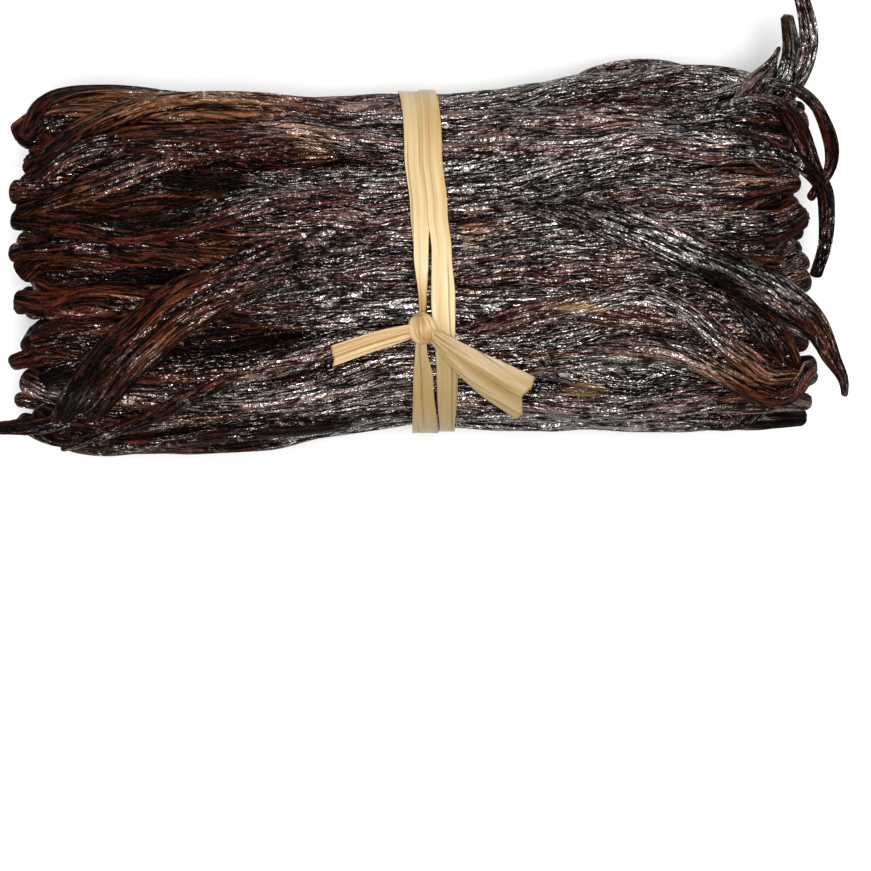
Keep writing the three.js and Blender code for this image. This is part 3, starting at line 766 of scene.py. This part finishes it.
# The pleats of a strip: how far apart their places and their heights change, their height and how much it
# varies, and the width of one as a share of the space between two.
PLEAT_WANDER, PLEAT_VARY, PLEAT_HEIGHT, PLEAT_RANGE, PLEAT_WIDTH = 24.0, 15.0, 0.6, 0.5, 0.35

# The pleats and the brown streaks of the turns, each as [how many, how high or how brown].
TURN_PLEATS, TURN_STREAKS, TWIST_AGED = (3, 0.06), (2, 0.25), 0.9

# The colours of straw, with a darker one that is painted shade, and its patterns with the same columns as
# those in the skin of a pod.
STRAW_DARK, STRAW_LIGHT = (0.385, 0.245, 0.092, 1), (0.475, 0.36, 0.175, 1)
STRAW_PALE, STRAW_AGED = (0.53, 0.43, 0.235, 1), (0.3, 0.15, 0.036, 1)
STRAW_VEIN, STRAW_SHADED = (0.2, 0.1, 0.03, 1), (0.2, 0.13, 0.042, 1)
STRAND_PATTERN, BAND_PATTERN = (0.012, 5200.0, 2.0, 0.5), (0.05, 520.0, 2.0, 0.5)
VEIN_PATTERN, STRAW_ROUGHNESS, STRAW_RELIEF = (0.008, 1400.0, 1.0, 0.5), 0.42, 0.00012


def strip_column(degrees, column):
    """The x or the width of the strip where it has gone round by so many degrees."""
    k = np.clip(np.searchsorted(STRIP_RUN[:, 0], degrees), 1, len(STRIP_RUN) - 1)
    before, after = STRIP_RUN[k - 1], STRIP_RUN[k]
    share = smooth((degrees - before[:, 0]) / (after[:, 0] - before[:, 0]))
    return lerp(before[:, column], after[:, column], share)


def ribbon(name, centre, across, out, width, lift, aged, painted_shade, seed, cut=None):
    """A strip of raffia along rows of points, with a height and a brownness for each point of each row.
    Its last end is cut off unevenly: cut says how much further each point of the last row reaches."""
    count, columns = lift.shape
    bpy.ops.mesh.primitive_grid_add(x_subdivisions=columns - 1, y_subdivisions=count - 1, size=2.0)
    strip = bpy.context.object
    strip.name = strip.data.name = name
    flat = np.array([tuple(vertex.co) for vertex in strip.data.vertices])
    column = np.rint((flat[:, 0] + 1) / 2 * (columns - 1)).astype(int)
    row = np.rint((flat[:, 1] + 1) / 2 * (count - 1)).astype(int)
    side = (column / (columns - 1) - 0.5) * width[row]
    places = centre[row] + side[:, None] * across[row] + lift[row, column][:, None] * out[row]
    lengths = lengths_along(centre)
    if cut is not None:
        along = unit(np.gradient(centre, axis=0))
        near_cut = smooth(1 - (lengths[-1] - lengths[row]) / CUT_OVER)
        places += along[row] * (cut[column] * near_cut)[:, None]
    place_points(strip.data, places)
    unbent = np.stack([side, 0 * side + STRIP_SHIFT * seed, lengths[row]], -1)
    mark(strip.data, unbent, {"aged": aged[row, column], "painted_shade": (painted_shade + 0 * width)[row]})
    solidify = strip.modifiers.new("thickness", "SOLIDIFY")
    solidify.thickness = STRIP_THICKNESS * MM
    solidify.offset = 0.0
    bpy.ops.object.modifier_apply(modifier=solidify.name)
    strip.data.shade_smooth()
    strip.data.materials.append(straw)
    strip.select_set(False)
    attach(strip, "root")
    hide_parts("raffia_tie")


def pleats(count, columns, draw, number, depth):
    """Heights of the lengthwise pleats and ribs over a strip."""
    lengths = np.arange(count) * 1.0
    at = np.linspace(0, 1, columns)
    total = np.zeros((count, columns))
    for k in range(number):
        place = (k + 0.5) / number + 0.5 / number * uneven(lengths, PLEAT_WANDER, draw)
        height = depth * (PLEAT_HEIGHT + PLEAT_RANGE * uneven(lengths, PLEAT_VARY, draw))
        total += height[:, None] * np.exp(-(((at - place[:, None]) / (PLEAT_WIDTH / number)) ** 2))
    return total


def raffia_finish():
    """Pale dry straw with darker bands and veins along it, brown where it is aged, and darkened by painted
    shade in places.
    """
    f = Finish("raffia")
    unbent = f.attribute("unbent", "Vector")
    aged = f.attribute("aged", "Fac")
    painted_shade = f.attribute("painted_shade", "Fac")
    fibre = f.streaks(unbent, *STRAND_PATTERN)
    bands = f.streaks(unbent, *BAND_PATTERN)
    lines = f.streaks(unbent, *VEIN_PATTERN)
    colour = f.mix(STRAW_DARK, STRAW_LIGHT, f.step(bands, 0.36, 0.62))
    colour = f.mix(colour, STRAW_PALE, f.step(fibre, 0.52, 0.72) * 0.5)
    colour = f.mix(colour, STRAW_AGED, f.step(aged + (fibre - 0.5) * 1.1, 0.1, 1.05) * 0.85)
    vein = f.step(lines, 0.6, 0.64) * (1 - f.step(lines, 0.64, 0.68))
    colour = f.mix(colour, STRAW_VEIN, vein * 0.6 + f.step(bands, 0.66, 0.74) * 0.2)
    # Painted shade darkens the straw towards a darker straw colour.
    colour = f.mix(colour, STRAW_SHADED, painted_shade)
    bumps = f.bump(fibre * 0.8 - vein, STRAW_RELIEF)
    return f.made(f.skin(Base_Color=colour, Roughness=STRAW_ROUGHNESS, Normal=bumps))


straw = raffia_finish()
knot_share = KNOT_Y / WAIST_HALF_WIDTH
start = math.atan2(math.sqrt(1 - knot_share**2), knot_share)
for seed, (name, first, last, lift, browner) in enumerate(TURNS):
    degrees = np.linspace(first, last, int((last - first) / STRIP_DEGREES))
    draw = np.random.default_rng(TURNS_SEED + seed)
    centre = on_outline(0 * degrees, start - np.radians(degrees), -STRIP_GAP - STRIP_THICKNESS / 2 - lift)
    out = outward(centre)
    centre[:, 0] = strip_column(degrees, 1)
    width = strip_column(degrees, 2)
    across = np.tile([-1.0, 0.0, 0.0], (degrees.size, 1))

    # Next to the knot the first turn is twisted, and browner. Both turns are darkened down the front with
    # painted shade.
    near = 1 - smooth(degrees / TWIST_DEGREES)
    twist = (TWIST * near)[:, None]
    across, out = rolled(across, out, twist)
    heights = pleats(degrees.size, STRIP_ACROSS, draw, *TURN_PLEATS)
    aged = browner + pleats(degrees.size, STRIP_ACROSS, draw, *TURN_STREAKS) + TWIST_AGED * near[:, None]
    painted_shade = DEEPEST_SHADE * smooth((SHADE_FROM - centre[:, 1]) / SHADE_OVER)
    ribbon(name, centre, across, out, width, heights, aged, painted_shade, seed + 1)


# The two ends of the strip leave the knot and lie flat over the pods. The left one is folded lengthwise,
# which makes its upper half thicker, and the right one is opened out wide. Both are cut off in a zigzag:
# [place across the tail, how much further it reaches].
TAILS_ACROSS, TAIL_STEP = 41, 0.5
FOLD_AT, FOLD_OVER, FOLD_LIFT, FOLD_AGED = 0.5, 0.12, 0.45, 0.62
# Each tail has its pleats, its brown streaks, its share of painted shade and a seed, and the right one an
# arch.
LEFT_PLEATS, LEFT_STREAKS, LEFT_SHADE, LEFT_SEED = (4, 0.12), (3, 0.25), 0.1, 50
RIGHT_PLEATS, RIGHT_STREAKS, RIGHT_SHADE, RIGHT_SEED, RIGHT_ARCH = (3, 0.42), (3, 0.75), 0.74, 51, 0.16
LEFT_TAIL = [(-1.4, -13.6, 1.9), (-10, -15.9, 2.1), (-17.6, -18.4, 2.2)]
RIGHT_TAIL = [(1.2, -14.4, 1.9), (9.9, -20.6, 2.2), (18.8, -25.3, 2.6)]
LEFT_WIDTHS, RIGHT_WIDTHS = (2.6, 3.6, 3.9, 4.1), (2.4, 5.4, 8.0, 9.8)
LEFT_CUT = [(0, 0.0), (0.5, 0.3), (0.6, 0.0), (1, 0.9)]
RIGHT_CUT = [(0, 0.2), (0.23, 0.8), (0.47, 0.1), (0.82, 2.2), (1, 1.8)]


def tail_rows(path, widths):
    """The rows of points of one tail, with their way out, and their widths."""
    centre = fine_line(np.array([on_top(place) for place in path]), TAIL_STEP)
    out = outward(centre)
    along = unit(np.gradient(centre, axis=0))
    out = square_to(along, out)
    share = np.linspace(0, 1, len(centre))
    return centre, np.cross(out, along), out, np.interp(share, np.linspace(0, 1, len(widths)), widths)


# Across a tail the places run from its upper edge, 0, to its lower edge, 1.
place = np.linspace(1, 0, TAILS_ACROSS)
centre, across, out, width = tail_rows(LEFT_TAIL, LEFT_WIDTHS)
draw = np.random.default_rng(LEFT_SEED)
upper = 1 - smooth((place - FOLD_AT) / FOLD_OVER)
heights = pleats(len(centre), TAILS_ACROSS, draw, *LEFT_PLEATS) + FOLD_LIFT * upper
aged = FOLD_AGED * upper + pleats(len(centre), TAILS_ACROSS, draw, *LEFT_STREAKS)
cut = np.interp(place, *zip(*LEFT_CUT))
ribbon("raffia_left_tail", centre, -across, out, width, heights, aged, LEFT_SHADE, 3, cut)

centre, across, out, width = tail_rows(RIGHT_TAIL, RIGHT_WIDTHS)
draw = np.random.default_rng(RIGHT_SEED)
heights = pleats(len(centre), TAILS_ACROSS, draw, *RIGHT_PLEATS)
heights += RIGHT_ARCH * width[:, None] * (0.5 - np.abs(place - 0.5))
aged = pleats(len(centre), TAILS_ACROSS, draw, *RIGHT_STREAKS)
cut = np.interp(place, *zip(*RIGHT_CUT))
ribbon("raffia_right_tail", centre, across, out, width, heights, aged, RIGHT_SHADE, 4, cut)


# The knot is the strip passed round itself and pulled tight into a small lump. Three folds of it show: a
# pale one on the left, a brown one in the middle, and a narrow one that leads to the right tail. Each has
# [name, how far it stands off the lump, how brown it is, path], and a path has [x, y, width] from the knot.
KNOT_HALF_SIZES = np.array([1.9, 2.2, 1.3])
KNOT_FOLDS = [
    ("raffia_knot_fold_1", 0.35, 0.9, [
        (0.0, 2.7, 1.0), (0.3, 1.3, 1.7), (0.4, -0.4, 2.2), (0.3, -1.9, 2.2), (0.2, -2.6, 1.6),
    ]),
    ("raffia_knot_fold_2", 0.55, 0.35, [
        (0.1, 2.7, 1.2), (-0.9, 1.9, 2.3), (-1.3, 0.2, 2.9), (-0.9, -1.5, 2.5), (0.1, -2.4, 1.1),
    ]),
    ("raffia_knot_fold_3", 0.5, 0.1, [
        (-0.3, 2.6, 1.0), (0.8, 1.6, 1.6), (1.5, 0.3, 1.9), (2.0, -1.1, 2.2), (2.8, -2.4, 2.5),
    ]),
]
# The lump of the knot carries much painted shade and its folds little.
KNOT_AROUND, KNOT_ROWS, KNOT_AGED, KNOT_SHADE = 64, 40, 0.6, 0.6
FOLDS_ACROSS, FOLD_STEP, FOLD_FALL, FOLD_SHADE, FOLD_UPWARDS = 17, 0.25, 1.5, 0.1, [0, 0, 0.2]
FOLD_PLEATS, FOLD_STREAKS, FOLDS_SEED = (3, 0.12), (2, 0.3), 60

# Slanting waves of two lengths leave grooves in the lump: [depth, how tight along x, how tight along y].
KNOT_WAVES = [(0.06, 9, 5), (0.03, 23, 9)]

knot_place = on_top((KNOT_X, KNOT_Y, KNOT_LIFT))
bpy.ops.mesh.primitive_uv_sphere_add(segments=KNOT_AROUND, ring_count=KNOT_ROWS, radius=1.0)
knot = bpy.context.object
knot.name = knot.data.name = "raffia_knot"
ball = np.array([tuple(vertex.co) for vertex in knot.data.vertices])
waves = sum(depth * np.sin(a * ball[:, 0] + b * ball[:, 1]) for depth, a, b in KNOT_WAVES)
place_points(knot.data, ball * (1 + waves)[:, None] * KNOT_HALF_SIZES + knot_place)
unbent = ball[:, [0, 2, 1]] * KNOT_HALF_SIZES
mark(knot.data, unbent, {"aged": np.full(len(ball), KNOT_AGED), "painted_shade": np.full(len(ball), KNOT_SHADE)})
knot.data.shade_smooth()
knot.data.materials.append(straw)
knot.select_set(False)
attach(knot, "root")
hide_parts("raffia_tie")

for seed, (name, lift, browner, path) in enumerate(KNOT_FOLDS):
    plan = fine_line(np.array(path), FOLD_STEP)
    reach = np.hypot(plan[:, 0] / KNOT_HALF_SIZES[0], plan[:, 1] / KNOT_HALF_SIZES[1])
    height = KNOT_HALF_SIZES[2] * np.sqrt(np.clip(1 - reach**2, 0, 1))
    height = height - np.clip(reach - 1, 0, None) * FOLD_FALL
    offset = np.stack([plan[:, 0], plan[:, 1], height], -1)
    out = unit(offset / KNOT_HALF_SIZES**2 + FOLD_UPWARDS)
    centre = knot_place + offset + out * lift
    along = unit(np.gradient(centre, axis=0))
    out = square_to(along, out)
    draw = np.random.default_rng(FOLDS_SEED + seed)
    heights = pleats(len(centre), FOLDS_ACROSS, draw, *FOLD_PLEATS)
    aged = browner + pleats(len(centre), FOLDS_ACROSS, draw, *FOLD_STREAKS)
    ribbon(name, centre, np.cross(out, along), out, plan[:, 2], heights, aged, FOLD_SHADE, 5 + seed)


# The table is plain, nearly white and a little rough. The camera looks straight down at it, and what it sees
# is VIEW_WIDTH wide at VIEW_HEIGHT above the table.
FLOOR_SIZE, FLOOR_COLOUR, FLOOR_ROUGHNESS = 6.0, (0.66, 0.66, 0.66, 1), 0.6
CAMERA_PLACE, CAMERA_LENS, CAMERA_SENSOR = (0.0025, -0.0414), 170.0, 36.0
VIEW_WIDTH, VIEW_HEIGHT = 0.1698, 0.040

bpy.ops.mesh.primitive_plane_add(size=FLOOR_SIZE)
floor = bpy.context.object
floor.name = "table"
f = Finish("table")
floor.data.materials.append(f.made(f.skin(Base_Color=FLOOR_COLOUR, Roughness=FLOOR_ROUGHNESS)))
floor.select_set(False)

camera_data = bpy.data.cameras.new("camera")
camera_data.sensor_width = CAMERA_SENSOR
camera_data.lens = CAMERA_LENS
camera = bpy.data.objects.new("camera", camera_data)
camera.location = (*CAMERA_PLACE, VIEW_HEIGHT + VIEW_WIDTH * CAMERA_LENS / CAMERA_SENSOR)
bpy.context.collection.objects.link(camera)
bpy.context.scene.camera = camera

# A wide soft light comes from over the table, and weaker ones from its four sides: [name, degrees down from
# straight above, bearing, degrees across as seen from the table, power].
LAMPS = [
    ("lamp_over", 5, -50, 24, 4.0),
    ("lamp_front", 42, -90, 45, 1.1),
    ("lamp_back", 42, 90, 45, 1.1),
    ("lamp_left", 53, 180, 45, 0.45),
    ("lamp_right", 53, 0, 45, 0.45),
]
for name, tilt, bearing, width, power in LAMPS:
    lamp_data = bpy.data.lights.new(name, "SUN")
    lamp_data.angle = math.radians(width)
    lamp_data.energy = power
    lamp = bpy.data.objects.new(name, lamp_data)
    lamp.location = (0.0, 0.0, 1.0)
    lamp.rotation_euler = (math.radians(tilt), 0.0, math.radians(bearing + 90))
    bpy.context.collection.objects.link(lamp)

# The room round the table is white to look at, and gives little light of its own.
ROOM_LIGHT, ROOM_WHITE = 0.045, 1.0
room = Finish("pale room", "worlds")
seen = room.node("ShaderNodeLightPath", {}, {}, "Is Camera Ray")
range_to = {"Value": seen, "To Min": ROOM_LIGHT, "To Max": ROOM_WHITE}
strength = room.node("ShaderNodeMapRange", {}, range_to, "Result")
light = {"Color": (1, 1, 1, 1), "Strength": strength}
background = room.node("ShaderNodeBackground", {}, light, "Background")
bpy.context.scene.world = room.made(background, "ShaderNodeOutputWorld")
bpy.context.scene.view_settings.view_transform = "Standard"
